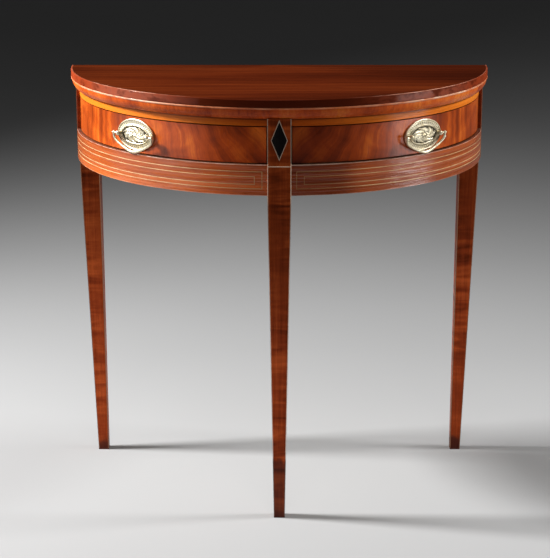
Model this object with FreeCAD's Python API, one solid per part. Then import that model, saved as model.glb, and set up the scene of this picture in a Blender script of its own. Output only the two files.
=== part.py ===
import FreeCAD, Part
import math
import os

from FreeCAD import Vector

# Demilune table with two bow-fronted drawers, modelled in millimetres.
# +Z is up, the bowed front faces -Y, and the origin is on the floor, under the middle of the table's box.

# Whole table
table_height = 760.0
top_radius = 391.0
arc_setback = 4.0            # the arcs' common centre lies this far behind the straight back edge
top_thickness = 14.0
arris_radius = 1.5

# Ovolo moulding under the top's edge
moulding_height = 20.0
moulding_step = 1.0          # from the top's edge in to the moulding
moulding_fillet = 3.0        # upright strip above the ovolo
moulding_sink = 9.5          # how far the ovolo draws in at its foot
moulding_bulge = 2.2

# Frieze, from the top down
top_overhang = 15.0          # from the rails' face out to the top's edge
top_rail_height = 33.5
drawer_opening = 66.0
apron_height = 53.5
rail_thickness = 20.0
band_thickness = 6.5         # veneered band on the face of the apron

# Legs
front_leg_width = 41.0
front_leg_depth = 41.0
pilaster_proud = 0.5         # how far the legs' posts stand out from the apron band
rear_leg_width = 40.0
rear_leg_depth = 41.0
rear_leg_step = 3.0          # from the rear post's outer side in to the taper below it
leg_back_inset = 6.0
foot_width = 19.5
front_foot_lean = 3.0        # how far each foot is drawn in from the leg's face above it
rear_foot_side_lean = 19.5
rear_foot_back_lean = 6.0

# Joints of the frame
tenon_length = 14.0
tenon_thickness = 10.0
tenon_shoulder = 6.0
stub_length = 6.0
back_rail_thickness = 18.0
back_rail_inset = 2.0

# Runners, guides and kickers of the drawers
runner_thickness = 13.0
runner_ledge = 18.0          # bearing width under a drawer's side
guide_width = 12.0
guide_height = 14.0
stop_thickness = 8.0
stop_width = 16.0
stop_height = 20.0
glue_block = 16.0
glue_block_length = 40.0
glue_block_angle_shares = (0.19, 0.38, 0.57)     # of the quarter circle, from the front

# Screws that hold the top down
screw_head_radius = 4.0
screw_head_height = 3.0
screw_shank_radius = 2.2
screw_bite = 8.0             # into the top
screw_grip = 14.0            # wood left under the top, above the screw's pocket
pocket_radius = 5.5
screw_place_shares = (0.25, 0.75)                # along each kicker

# Drawers
side_gap = 1.5
upper_gap = 2.0
lower_gap = 2.0
runner_gap = 0.3
stop_gap = 0.3
face_setback = 0.5           # the drawers' face behind the rails' face
front_thickness = 20.5
veneer_thickness = 1.0
side_thickness = 10.0
back_thickness = 10.0
back_drop = 8.0              # the back's upper edge below the sides'
bottom_thickness = 5.0
bottom_rise = 6.0            # from the sides' lower edge up to the bottom board
groove_depth = 4.0
lap_depth = 8.0              # how far the sides' tails reach into the front
back_tail_count = 2
front_tail_count = 3
tail_share = 0.72            # of the dovetails' pitch, at the end of the side
neck_share = 0.46            # and at the tails' root

# Stringing and inlay
string_width = 1.3
string_depth = 0.8
string_foot_gap = 3.0
cross_string_drop = 2.0
outer_loop_shares = (0.21, 0.79)                 # of the apron's height, from its upper edge
inner_loop_shares = (0.37, 0.65)
outer_loop_margin = 8.5      # from the band's ends
inner_loop_margin = 21.5
lozenge_height = 71.0
lozenge_width = 29.0
lozenge_gap = 1.5            # from the moulding down to the lozenge's point
lozenge_depth = 1.2

# Pulls
pull_inset = 4.5             # from the middle of the drawer's arc, towards the front leg
plate_length = 84.0
plate_height = 54.0
plate_edge = 1.2
rim_width = 3.0
rim_rise = 1.4
hollow_rise = 0.9
ring_width = 3.0
ring_inset = 10.0            # from the plate's edge in to the raised ring
ring_foot = 2.4
ring_rise = 3.6
dome_rise = 5.2
dome_inset = 18.0            # from the plate's edge in to the dome's flat top
oval_end_share = 0.72        # of the plate's half height, the radius of its rounded ends
post_spacing = 72.0
post_radius = 3.2
post_head_radius = 4.6
pivot_stand = 8.5            # from the drawer's face out to the bail's pivots
shank_radius = 2.0
shank_spare = 1.0            # thread showing past the nut
nut_width = 9.0
nut_thickness = 3.5
nut_floor = 9.0              # wood between the drawer's face and the nut's pocket
nut_pocket_radius = 7.5
bail_width = 94.0
bail_drop = 29.5
bail_shoulder = 12.0
bail_tip = 18.0
bail_rod_radius = 2.5
bail_knuckle_radius = 3.4
pin_radius = 1.5
pin_clearance = 0.05
bend_share = 0.85            # of the run beside a bend that its arc takes up

overrun = 5.0                # how far a cutting shape reaches past what it cuts

# Heights worked out from the sizes above
carcass_top = table_height - top_thickness
moulding_foot = carcass_top - moulding_height
opening_top = carcass_top - top_rail_height
opening_foot = opening_top - drawer_opening
apron_foot = opening_foot - apron_height

# Radii about the arcs' centre
rail_radius = top_radius - top_overhang
rail_inner_radius = rail_radius - rail_thickness
band_radius = rail_radius + band_thickness
face_radius = rail_radius - face_setback
core_radius = face_radius - veneer_thickness
front_inner_radius = face_radius - front_thickness

# Places across the depth and the width
back_y = (top_radius - arc_setback) / 2
arc_y = back_y + arc_setback
leg_back_y = back_y - leg_back_inset
rear_leg_front_y = leg_back_y - rear_leg_depth
front_leg_front_y = arc_y - band_radius - pilaster_proud
front_leg_back_y = front_leg_front_y + front_leg_depth
back_rail_rear_y = leg_back_y - back_rail_inset
back_rail_front_y = back_rail_rear_y - back_rail_thickness
post_half = front_leg_width / 2
rail_end_x = math.sqrt(rail_radius**2 - (arc_y - rear_leg_front_y) ** 2)
band_end_x = math.sqrt(band_radius**2 - (arc_y - rear_leg_front_y) ** 2)
rear_leg_outer_x = band_end_x + pilaster_proud
rear_leg_inner_x = rear_leg_outer_x - rear_leg_width
reach = top_radius + overrun

# Places of the right-hand drawer; the left-hand one is its mirror image
drawer_inner_x = post_half + side_gap
drawer_outer_x = rear_leg_inner_x - guide_width - side_gap
drawer_rear_y = back_rail_front_y - stop_thickness - stop_gap
drawer_end_y = rear_leg_front_y - side_gap
side_foot = opening_foot + runner_gap
side_top = opening_top - upper_gap
front_foot = opening_foot + lower_gap
bottom_foot = side_foot + bottom_rise
bottom_top = bottom_foot + bottom_thickness
drawer_back_top = side_top - back_drop

# Place of the right-hand pull, near the middle of its drawer's arc
pull_z = (front_foot + side_top) / 2
inner_end_angle = math.asin(drawer_inner_x / face_radius)
outer_end_angle = math.acos((arc_y - drawer_end_y) / face_radius)
pull_angle = math.degrees((inner_end_angle + outer_end_angle) / 2 - pull_inset / face_radius)
face_y = arc_y - face_radius


def box(x0, x1, y0, y1, z0, z1):
    return Part.makeBox(x1 - x0, y1 - y0, z1 - z0, Vector(x0, y0, z0))


def disc(radius, z0, z1):
    return Part.makeCylinder(radius, z1 - z0, Vector(0, arc_y, z0))


def curved_board(inner, outer, z0, z1, x_from, y_to):
    """A board bent round the arcs' centre, cut off square at its two ends."""
    ring = disc(outer, z0, z1).cut(disc(inner, z0, z1))
    return ring.common(box(x_from, reach, -reach, y_to, z0, z1))


def rectangle(x0, x1, y0, y1, z):
    corners = [Vector(x0, y0, z), Vector(x1, y0, z), Vector(x1, y1, z), Vector(x0, y1, z)]
    return Part.makePolygon(corners + corners[:1])


def prism(corners, along):
    return Part.Face(Part.makePolygon(corners + corners[:1])).extrude(along)


def mirrored(shape):
    return shape.mirror(Vector(0, 0, 0), Vector(1, 0, 0))


def spun(profile_edges, angle, axis_foot, axis):
    face = Part.Face(Part.Wire(profile_edges))
    return face.revolve(axis_foot, axis, angle)


def line(a, b):
    return Part.LineSegment(a, b).toShape()


def arc(a, through, b):
    return Part.Arc(a, through, b).toShape()


def behind_cut(shape):
    """Cut a shape that goes round the arcs' centre off along the table's straight back."""
    z0 = shape.BoundBox.ZMin - overrun
    z1 = shape.BoundBox.ZMax + overrun
    return shape.common(box(-reach, reach, -reach, back_y, z0, z1))


# Top and moulding

def rim_point(radius, z):
    return Vector(radius, arc_y, z)


def half_round(edges):
    return behind_cut(spun(edges, -180, Vector(0, arc_y, 0), Vector(0, 0, 1)))


def make_top():
    """The half-round top board, with both arrises eased."""
    eased = arris_radius * math.sqrt(2) / 2
    inner = top_radius - arris_radius
    low = carcass_top + arris_radius
    high = table_height - arris_radius
    edges = [
        line(rim_point(0, carcass_top), rim_point(inner, carcass_top)),
        arc(rim_point(inner, carcass_top), rim_point(inner + eased, low - eased),
            rim_point(top_radius, low)),
        line(rim_point(top_radius, low), rim_point(top_radius, high)),
        arc(rim_point(top_radius, high), rim_point(inner + eased, high + eased),
            rim_point(inner, table_height)),
        line(rim_point(inner, table_height), rim_point(0, table_height)),
        line(rim_point(0, table_height), rim_point(0, carcass_top)),
    ]
    return half_round(edges)


def make_moulding():
    """The ovolo strip in the corner between the top's overhang and the frieze."""
    lip = top_radius - moulding_step
    foot = lip - moulding_sink
    ovolo_top = carcass_top - moulding_fillet
    chord_x = lip - foot
    chord_z = ovolo_top - moulding_foot
    chord = math.hypot(chord_x, chord_z)
    bulge_x = (lip + foot) / 2 + moulding_bulge * chord_z / chord
    bulge_z = (ovolo_top + moulding_foot) / 2 - moulding_bulge * chord_x / chord
    edges = [
        line(rim_point(rail_radius, moulding_foot), rim_point(foot, moulding_foot)),
        arc(rim_point(foot, moulding_foot), rim_point(bulge_x, bulge_z), rim_point(lip, ovolo_top)),
        line(rim_point(lip, ovolo_top), rim_point(lip, carcass_top)),
        line(rim_point(lip, carcass_top), rim_point(rail_radius, carcass_top)),
        line(rim_point(rail_radius, carcass_top), rim_point(rail_radius, moulding_foot)),
    ]
    return half_round(edges)


# Legs, each a square post above and a long taper below

def front_leg_section(share):
    """Sides of the front leg's taper, from share 0 at its top to 1 at the foot."""
    half = post_half + (foot_width / 2 - post_half) * share
    front = front_leg_front_y + front_foot_lean * share
    depth = front_leg_depth + (foot_width - front_leg_depth) * share
    return -half, half, front, front + depth


def rear_leg_section(share):
    outer = rear_leg_outer_x - rear_leg_step - rear_foot_side_lean * share
    back = leg_back_y - rear_foot_back_lean * share
    upper_width = rear_leg_width - rear_leg_step
    width = upper_width + (foot_width - upper_width) * share
    depth = rear_leg_depth + (foot_width - rear_leg_depth) * share
    return outer - width, outer, back - depth, back


def tapered(section):
    upper = rectangle(*section(0), apron_foot)
    lower = rectangle(*section(1), 0)
    return Part.makeLoft([lower, upper], True, True)


def arris_string(section, left_side):
    """A square string let into one front arris of a leg's taper."""
    wires = []
    for share in (0, 1 - string_foot_gap / apron_foot):
        x0, x1, y0, _ = section(share)
        edge = x0 if left_side else x1 - string_width
        wires.append(rectangle(edge, edge + string_width, y0, y0 + string_width, apron_foot * (1 - share)))
    return Part.makeLoft(wires[::-1], True, True)


def make_front_leg_strings():
    """Strings up both arrises of the leg and its pilaster, and one across at the apron's upper edge."""
    depth_y = front_leg_front_y + string_width
    strings = []
    for left_side in (True, False):
        edge = -post_half if left_side else post_half - string_width
        upright = box(edge, edge + string_width, front_leg_front_y, depth_y, apron_foot, moulding_foot)
        strings.append(upright.fuse(arris_string(front_leg_section, left_side)).removeSplitter())
    inner = post_half - string_width
    cross_top = opening_foot - cross_string_drop
    strings.append(box(-inner, inner, front_leg_front_y, depth_y, cross_top - string_width, cross_top))
    return strings


def make_rear_leg_strings():
    """Strings of the right-hand rear leg: up its taper, up the post's strip that shows beside the
    drawer, and across that strip."""
    depth_y = rear_leg_front_y + string_width
    edge = rear_leg_outer_x - string_width
    upright = box(edge, rear_leg_outer_x, rear_leg_front_y, depth_y, apron_foot, moulding_foot)
    across = box(rail_end_x, edge, rear_leg_front_y, depth_y, opening_foot, opening_foot + string_width)
    tapers = [arris_string(rear_leg_section, left_side) for left_side in (True, False)]
    return tapers + [upright, across]


def lozenge(half_width, half_height):
    centre = moulding_foot - lozenge_gap - lozenge_height / 2
    corners = [
        Vector(0, front_leg_front_y, centre - half_height),
        Vector(half_width, front_leg_front_y, centre),
        Vector(0, front_leg_front_y, centre + half_height),
        Vector(-half_width, front_leg_front_y, centre),
    ]
    return prism(corners, Vector(0, lozenge_depth, 0))


def make_lozenge():
    """The dark lozenge on the pilaster, and the pale string round it."""
    whole = lozenge(lozenge_width / 2, lozenge_height / 2)
    slant = math.hypot(lozenge_width, lozenge_height)
    side_trim = string_width * slant / lozenge_height
    point_trim = string_width * slant / lozenge_width
    dark = lozenge(lozenge_width / 2 - side_trim, lozenge_height / 2 - point_trim)
    return whole, dark, whole.cut(dark)


def moulding_room():
    """The space round the heads of the legs that the moulding takes up."""
    return disc(reach, moulding_foot, carcass_top).cut(disc(rail_radius, moulding_foot, carcass_top))


def make_front_leg():
    x0, x1, y0, y1 = front_leg_section(0)
    post = box(x0, x1, y0, y1, apron_foot, carcass_top).cut(moulding_room())
    return post.fuse(tapered(front_leg_section)).removeSplitter()


def make_rear_leg():
    """The right-hand rear leg; a strip of its post shows at the end of the frieze."""
    post = box(rear_leg_inner_x, rear_leg_outer_x, rear_leg_front_y, leg_back_y, apron_foot, carcass_top)
    return post.cut(moulding_room()).fuse(tapered(rear_leg_section)).removeSplitter()


# Rails of the frame

def make_curved_rail(z0, z1):
    """A right-hand curved rail, with a tenon into the front leg and one into the rear leg."""
    rail = curved_board(rail_inner_radius, rail_radius, z0, z1, post_half, rear_leg_front_y)
    middle = (rail_inner_radius + rail_radius) / 2
    front_y = arc_y - math.sqrt(middle**2 - post_half**2)
    rear_x = math.sqrt(middle**2 - (arc_y - rear_leg_front_y) ** 2)
    half = tenon_thickness / 2
    low = z0 + tenon_shoulder
    high = z1 - tenon_shoulder
    front_tenon = box(post_half - tenon_length, post_half, front_y - half, front_y + half, low, high)
    rear_y = rear_leg_front_y
    rear_tenon = box(rear_x - half, rear_x + half, rear_y, rear_y + tenon_length, low, high)
    return rail.fuse([front_tenon, rear_tenon]).removeSplitter()


def make_back_rail():
    board = box(-rear_leg_inner_x, rear_leg_inner_x, back_rail_front_y, back_rail_rear_y,
                apron_foot, carcass_top)
    cheek = (back_rail_thickness - tenon_thickness) / 2
    tip = rear_leg_inner_x + tenon_length
    tenon = box(-tip, tip, back_rail_front_y + cheek, back_rail_rear_y - cheek,
                apron_foot + tenon_shoulder, carcass_top - tenon_shoulder)
    return board.fuse(tenon).removeSplitter()


def make_band():
    return curved_board(rail_radius, band_radius, apron_foot, opening_foot, post_half, rear_leg_front_y)


def string_loop(shares, margin):
    """One rectangle of string let into the face of the right-hand apron band."""
    high = opening_foot - shares[0] * apron_height
    low = opening_foot - shares[1] * apron_height
    depth = band_radius - string_depth
    x_from = post_half + margin
    y_to = rear_leg_front_y - margin
    outside = curved_board(depth, band_radius, low, high, x_from, y_to)
    inside = curved_board(depth, band_radius, low + string_width, high - string_width,
                          x_from + string_width, y_to - string_width)
    return outside.cut(inside)


# Drawer supports inside the frame

def inner_strip(half_width, z0, z1):
    """A strip on the centre line, from the front leg back to the back rail."""
    return box(-half_width, half_width, front_leg_back_y, back_rail_front_y, z0, z1)


def outer_strip(z0, z1):
    """A right-hand strip under or over the drawer's outer side, let into the rails at both ends."""
    rear_y = back_rail_front_y + stub_length
    strip = box(drawer_outer_x - runner_ledge, rear_leg_inner_x, -reach, rear_y, z0, z1)
    return strip.common(disc(rail_inner_radius + stub_length, z0, z1))


def make_outer_guide():
    top = opening_foot + guide_height
    strip = box(drawer_outer_x + side_gap, rear_leg_inner_x, -reach, back_rail_front_y, opening_foot, top)
    return strip.common(disc(front_inner_radius - side_gap, opening_foot, top))


def make_stops():
    """Blocks on the back rail that the drawers' backs come up against."""
    middle = (bottom_top + drawer_back_top) / 2
    low = middle - stop_height / 2
    stops = []
    for x in (drawer_inner_x + side_thickness, drawer_outer_x - side_thickness - stop_width):
        block = box(x, x + stop_width, back_rail_front_y - stop_thickness, back_rail_front_y,
                    low, low + stop_height)
        stops += [block, mirrored(block)]
    return stops


def turned(shape, angle):
    """Turn a shape about the arcs' centre; a shape made at the front goes to the right."""
    copy = shape.copy()
    copy.rotate(Vector(0, arc_y, 0), Vector(0, 0, 1), angle)
    return copy


def make_glue_blocks():
    half = glue_block_length / 2
    low = carcass_top - glue_block
    inner_y = arc_y - rail_inner_radius
    block = box(-half, half, inner_y - overrun, inner_y + glue_block, low, carcass_top)
    block = block.common(disc(rail_inner_radius, low, carcass_top))
    quarter_turn = 90
    blocks = []
    for share in glue_block_angle_shares:
        blocks += [turned(block, quarter_turn * share), turned(block, -quarter_turn * share)]
    return blocks


def screw_places():
    """Where screws go up through the centre kicker and the two outer kickers."""
    outer_x = (drawer_outer_x - runner_ledge + rear_leg_inner_x) / 2
    outer_front_y = arc_y - math.sqrt(rail_inner_radius**2 - outer_x**2)
    places = []
    for share in screw_place_shares:
        inner_y = front_leg_back_y + share * (back_rail_front_y - front_leg_back_y)
        outer_y = outer_front_y + share * (back_rail_front_y - outer_front_y)
        places += [(0, inner_y), (outer_x, outer_y), (-outer_x, outer_y)]
    return places


def make_screw(x, y):
    grip_foot = carcass_top - screw_grip
    head_foot = grip_foot - screw_head_height
    head = Part.makeCylinder(screw_head_radius, screw_head_height, Vector(x, y, head_foot))
    shank = Part.makeCylinder(screw_shank_radius, screw_grip + screw_bite, Vector(x, y, grip_foot))
    return head.fuse(shank).removeSplitter()


def screw_pocket(x, y):
    grip_foot = carcass_top - screw_grip
    return Part.makeCylinder(pocket_radius, grip_foot - opening_top, Vector(x, y, opening_top))


# Right-hand drawer

def dovetails(x0, root_y, tip_y, low, high, count):
    """Tails of one drawer side, evenly set between two heights and widening from root to tip."""
    pitch = (high - low) / count
    neck = pitch * neck_share / 2
    tail = pitch * tail_share / 2
    tails = []
    for i in range(count):
        middle = low + pitch * i + pitch / 2
        corners = [
            Vector(x0, root_y, middle - neck),
            Vector(x0, tip_y, middle - tail),
            Vector(x0, tip_y, middle + tail),
            Vector(x0, root_y, middle + neck),
        ]
        tails.append(prism(corners, Vector(side_thickness, 0, 0)))
    return tails


def make_drawer_side(x0):
    """A drawer side, with lapped dovetails into the curved front."""
    x1 = x0 + side_thickness
    tip_radius = front_inner_radius + lap_depth
    root_y = arc_y - math.sqrt(front_inner_radius**2 - x1**2)
    tip_y = arc_y - math.sqrt(tip_radius**2 - x0**2)
    board = box(x0, x1, -reach, drawer_rear_y, side_foot, side_top)
    board = board.common(disc(front_inner_radius, side_foot, side_top))
    lap = disc(tip_radius, front_foot, side_top)
    tails = dovetails(x0, root_y, tip_y, front_foot, side_top, front_tail_count)
    return board.fuse([tail.common(lap) for tail in tails]).removeSplitter()


def back_pins(x0):
    """What is left of the back between the tails of one side."""
    front_y = drawer_rear_y - back_thickness
    pins = box(x0, x0 + side_thickness, front_y, drawer_rear_y, bottom_top, drawer_back_top)
    return pins.cut(dovetails(x0, front_y, drawer_rear_y, bottom_top, drawer_back_top, back_tail_count))


def make_drawer_bottom():
    x0 = drawer_inner_x + side_thickness - groove_depth
    x1 = drawer_outer_x - side_thickness + groove_depth
    board = box(x0, x1, -reach, drawer_rear_y, bottom_foot, bottom_top)
    return board.common(disc(front_inner_radius + groove_depth, bottom_foot, bottom_top))


def make_drawer():
    """Core and veneer of the front, two sides, back and bottom, as they stand at rest."""
    core = curved_board(front_inner_radius, core_radius, front_foot, side_top, drawer_inner_x, drawer_end_y)
    veneer = curved_board(core_radius, face_radius, front_foot, side_top, drawer_inner_x, drawer_end_y)
    bottom = make_drawer_bottom()
    inner_x = drawer_inner_x
    outer_x = drawer_outer_x - side_thickness
    inner_pins = back_pins(inner_x)
    outer_pins = back_pins(outer_x)
    inner_side = make_drawer_side(inner_x)
    outer_side = make_drawer_side(outer_x)
    core = core.cut([inner_side, outer_side, bottom])
    back = box(inner_x + side_thickness, outer_x, drawer_rear_y - back_thickness, drawer_rear_y,
               bottom_top, drawer_back_top)
    return {
        "drawer_front": core,
        "drawer_veneer": veneer,
        "drawer_inner_side": inner_side.cut([bottom, inner_pins]),
        "drawer_outer_side": outer_side.cut([bottom, outer_pins]),
        "drawer_back": back.fuse([inner_pins, outer_pins]).removeSplitter(),
        "drawer_bottom": bottom,
    }


# Pull, modelled at the middle of the front, then turned to its place

def pull_point(along, out):
    """A point at the pull's height, so far along the drawer's face and so far out from it."""
    return Vector(along, face_y - out, pull_z)


def oval(inset, out):
    """A four-arc oval, so far in from the plate's edge and so far out from the drawer's face."""
    half_length = plate_length / 2
    half_height = plate_height / 2
    end_radius = oval_end_share * half_height
    end_centre = half_length - end_radius
    rise = half_height - end_radius
    side_centre = (end_centre**2 - rise**2) / (2 * rise)
    side_radius = half_height + side_centre - inset
    centre_gap = math.hypot(end_centre, side_centre)
    tip = half_length - inset
    crown = half_height - inset
    join_x = side_radius * end_centre / centre_gap
    join_z = side_radius * side_centre / centre_gap - side_centre
    middle = pull_point(0, out)
    right_up, right_down = middle + Vector(join_x, 0, join_z), middle + Vector(join_x, 0, -join_z)
    left_up, left_down = middle + Vector(-join_x, 0, join_z), middle + Vector(-join_x, 0, -join_z)
    return Part.Wire([
        arc(right_down, middle + Vector(tip, 0, 0), right_up),
        arc(right_up, middle + Vector(0, 0, crown), left_up),
        arc(left_up, middle + Vector(-tip, 0, 0), left_down),
        arc(left_down, middle + Vector(0, 0, -crown), right_down),
    ])


def make_plate():
    """Oval stamped plate: rolled rim, hollow, raised ring and low dome, its back bent to the drawer."""
    ring_end = ring_inset + ring_width
    steps = [
        (0, -overrun),
        (0, plate_edge),
        (rim_width / 2, plate_edge + rim_rise),
        (rim_width, plate_edge),
        (ring_inset, hollow_rise),
        (ring_inset + ring_width / 2, ring_rise),
        (ring_end, ring_foot),
        (dome_inset, dome_rise),
    ]
    blank = Part.makeLoft([oval(inset, out) for inset, out in steps], True, True)
    return blank.cut(disc(face_radius, pull_z - plate_height, pull_z + plate_height))


def make_post(x):
    """A turned post: head with a cross hole for the bail's pin, neck on the face, shank through it."""
    pivot = pull_point(x, pivot_stand)
    inward = Vector(0, 1, 0)
    neck = Part.makeCylinder(post_radius, pivot_stand + overrun, pivot, inward)
    neck = neck.cut(disc(face_radius, pull_z - plate_height, pull_z + plate_height))
    head = Part.makeSphere(post_head_radius, pivot)
    shank_length = pivot_stand + nut_floor + nut_thickness + shank_spare
    shank = Part.makeCylinder(shank_radius, shank_length, pivot, inward)
    hole_start = pull_point(x - post_head_radius, pivot_stand)
    hole = Part.makeCylinder(pin_radius + pin_clearance, 2 * post_head_radius, hole_start, Vector(1, 0, 0))
    return neck.fuse([head, shank]).removeSplitter().cut(hole)


def make_nut(x):
    half = nut_width / 2
    near = face_y + nut_floor
    body = box(x - half, x + half, near, near + nut_thickness, pull_z - half, pull_z + half)
    return body.cut(shank_hole(x))


def shank_hole(x):
    length = pivot_stand + front_thickness + overrun
    return Part.makeCylinder(shank_radius, length, pull_point(x, pivot_stand), Vector(0, 1, 0))


def nut_pocket(x):
    return Part.makeCylinder(nut_pocket_radius, front_thickness, pull_point(x, -nut_floor), Vector(0, 1, 0))


def rounded_route(points):
    """A wire through the points, each inner corner rounded as far as its runs leave room."""
    last = len(points) - 1
    edges = []
    start = points[0]
    for i in range(1, last):
        back = points[i - 1] - points[i]
        ahead = points[i + 1] - points[i]
        back_room = back.Length if i == 1 else back.Length / 2
        ahead_room = ahead.Length if i == last - 1 else ahead.Length / 2
        cut_back = bend_share * min(back_room, ahead_room)
        back.normalize()
        ahead.normalize()
        enter = points[i] + back * cut_back
        leave = points[i] + ahead * cut_back
        half_turn = back.getAngle(ahead) / 2
        inward = back + ahead
        inward.normalize()
        crown = points[i] + inward * (cut_back / math.cos(half_turn) - cut_back * math.tan(half_turn))
        edges += [line(start, enter), arc(enter, crown, leave)]
        start = leave
    edges.append(line(start, points[last]))
    return Part.Wire(edges)


def make_bail():
    """The hanging handle: a rod bent to a shallow point, with knuckles and pins that turn in the posts."""
    half = bail_width / 2
    shoulder = Vector(0, 0, -bail_shoulder)
    drop = Vector(0, 0, -bail_drop)
    left_end = pull_point(-half, pivot_stand)
    right_end = pull_point(half, pivot_stand)
    points = [
        left_end,
        left_end + shoulder,
        pull_point(-bail_tip / 2, pivot_stand) + drop,
        pull_point(bail_tip / 2, pivot_stand) + drop,
        right_end + shoulder,
        right_end,
    ]
    section = Part.Wire(Part.makeCircle(bail_rod_radius, left_end, Vector(0, 0, 1)))
    sweep = Part.BRepOffsetAPI.MakePipeShell(rounded_route(points))
    sweep.add(section)
    sweep.build()
    sweep.makeSolid()
    bail = sweep.shape()
    pin_length = half - post_spacing / 2 + post_head_radius
    for end, inward in ((left_end, 1), (right_end, -1)):
        knuckle = Part.makeSphere(bail_knuckle_radius, end)
        pin = Part.makeCylinder(pin_radius, pin_length, end, Vector(inward, 0, 0))
        bail = bail.fuse([knuckle, pin])
    return bail.removeSplitter()


# Assembly

def both_sides(name, shape):
    return {"right_" + name: shape, "left_" + name: mirrored(shape)}


def make_frame():
    apron_rail = make_curved_rail(apron_foot, opening_foot)
    top_rail = make_curved_rail(opening_top, carcass_top)
    back_rail = make_back_rail()
    runner_foot = opening_foot - runner_thickness
    outer_runner = outer_strip(runner_foot, opening_foot)
    outer_kicker = outer_strip(opening_top, carcass_top)
    center_half = post_half + runner_ledge
    center_runner = inner_strip(center_half, runner_foot, opening_foot)
    center_guide = inner_strip(post_half, opening_foot, opening_foot + guide_height)
    center_kicker = inner_strip(center_half, opening_top, carcass_top)
    outer_strips = [outer_runner, outer_kicker, mirrored(outer_runner), mirrored(outer_kicker)]

    outer_loop = string_loop(outer_loop_shares, outer_loop_margin)
    inner_loop = string_loop(inner_loop_shares, inner_loop_margin)
    band = make_band().cut([outer_loop, inner_loop])
    loops = Part.makeCompound([outer_loop, inner_loop])

    front_strings = make_front_leg_strings()
    lozenge_seat, dark_lozenge, lozenge_string = make_lozenge()
    right_tenons = [apron_rail, top_rail]
    left_tenons = [mirrored(rail) for rail in right_tenons]
    front_leg = make_front_leg().cut(right_tenons + left_tenons + front_strings + [lozenge_seat])
    rear_strings = make_rear_leg_strings()
    left_rear_strings = [mirrored(string) for string in rear_strings]
    rear_leg = make_rear_leg().cut(right_tenons + [back_rail] + rear_strings)

    screws = [make_screw(x, y) for x, y in screw_places()]
    pockets = [screw_pocket(x, y) for x, y in screw_places()]
    nodes = {
        "table_top": make_top().cut(screws),
        "edge_moulding": make_moulding(),
        "front_leg": front_leg,
        "back_rail": back_rail.cut(outer_strips),
        "center_runner": center_runner,
        "center_guide": center_guide,
        "center_kicker": center_kicker.cut(pockets + screws),
        "drawer_stops": Part.makeCompound(make_stops()),
        "glue_blocks": Part.makeCompound(make_glue_blocks()),
        "top_screws": Part.makeCompound(screws),
        "front_leg_stringing": Part.makeCompound(front_strings),
        "rear_leg_stringing": Part.makeCompound(rear_strings + left_rear_strings),
        "lozenge_inlay": dark_lozenge,
        "lozenge_stringing": lozenge_string,
    }
    nodes.update(both_sides("rear_leg", rear_leg))
    nodes.update(both_sides("apron_rail", apron_rail.cut(outer_runner)))
    nodes.update(both_sides("top_rail", top_rail.cut(outer_kicker)))
    nodes.update(both_sides("apron_band", band))
    nodes.update(both_sides("apron_stringing", loops))
    nodes.update(both_sides("outer_runner", outer_runner))
    nodes.update(both_sides("outer_guide", make_outer_guide()))
    nodes.update(both_sides("outer_kicker", outer_kicker.cut(pockets + screws)))
    return nodes


def make_pull(angle):
    """One pull in its place, with the holes that the drawer's front and veneer need for it."""
    places = (-post_spacing / 2, post_spacing / 2)
    posts = [turned(make_post(x), angle) for x in places]
    pull = {
        "pull_plate": turned(make_plate(), angle).cut(posts),
        "pull_posts": Part.makeCompound(posts),
        "pull_nuts": Part.makeCompound([turned(make_nut(x), angle) for x in places]),
        "bail": turned(make_bail(), angle),
    }
    shanks = [turned(shank_hole(x), angle) for x in places]
    pockets = [turned(nut_pocket(x), angle) for x in places]
    return pull, shanks, pockets


def make_drawers():
    right_drawer = make_drawer()
    nodes = {}
    for side, angle in (("right", pull_angle), ("left", -pull_angle)):
        pull, shanks, pockets = make_pull(angle)
        drawer = dict(right_drawer)
        if side == "left":
            drawer = {name: mirrored(shape) for name, shape in drawer.items()}
        drawer["drawer_front"] = drawer["drawer_front"].cut(shanks + pockets)
        drawer["drawer_veneer"] = drawer["drawer_veneer"].cut(shanks)
        drawer.update(pull)
        nodes.update({side + "_" + name: shape for name, shape in drawer.items()})
    return nodes


os.makedirs("parts", exist_ok=True)
table = make_frame()
table.update(make_drawers())
for node_name, node_shape in table.items():
    node_shape.exportStep("parts/" + node_name + ".step")
    print(node_name, len(node_shape.Solids), node_shape.isValid(), round(node_shape.Volume))
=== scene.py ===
"""Looks of the demilune table: its finishes, brass pulls, fastenings and studio."""
import logging
import math
from dataclasses import dataclass, replace
from enum import Enum
from typing import Callable, Sequence, Union

import bmesh
import bpy
import numpy as np
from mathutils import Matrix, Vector


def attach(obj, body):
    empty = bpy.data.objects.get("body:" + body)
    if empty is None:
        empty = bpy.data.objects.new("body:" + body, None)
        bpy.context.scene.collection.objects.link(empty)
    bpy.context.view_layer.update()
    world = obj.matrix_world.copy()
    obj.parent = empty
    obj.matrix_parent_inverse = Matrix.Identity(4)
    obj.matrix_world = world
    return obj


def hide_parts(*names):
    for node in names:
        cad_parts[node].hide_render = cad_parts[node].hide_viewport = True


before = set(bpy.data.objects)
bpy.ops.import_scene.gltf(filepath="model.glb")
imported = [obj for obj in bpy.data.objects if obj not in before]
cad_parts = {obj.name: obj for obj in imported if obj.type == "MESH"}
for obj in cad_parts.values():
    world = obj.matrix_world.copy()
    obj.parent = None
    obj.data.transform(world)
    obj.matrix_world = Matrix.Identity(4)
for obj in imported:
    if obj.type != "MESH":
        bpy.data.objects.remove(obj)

LOG = logging.getLogger("table")

BMesh = bmesh.types.BMesh
Material = bpy.types.Material
Mesh = bpy.types.Mesh
Socket = bpy.types.NodeSocket
Scalar = Union[float, Socket]
Place = tuple[Socket, Socket, Socket]
Point = tuple[float, float]
Triple = tuple[float, float, float]

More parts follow.
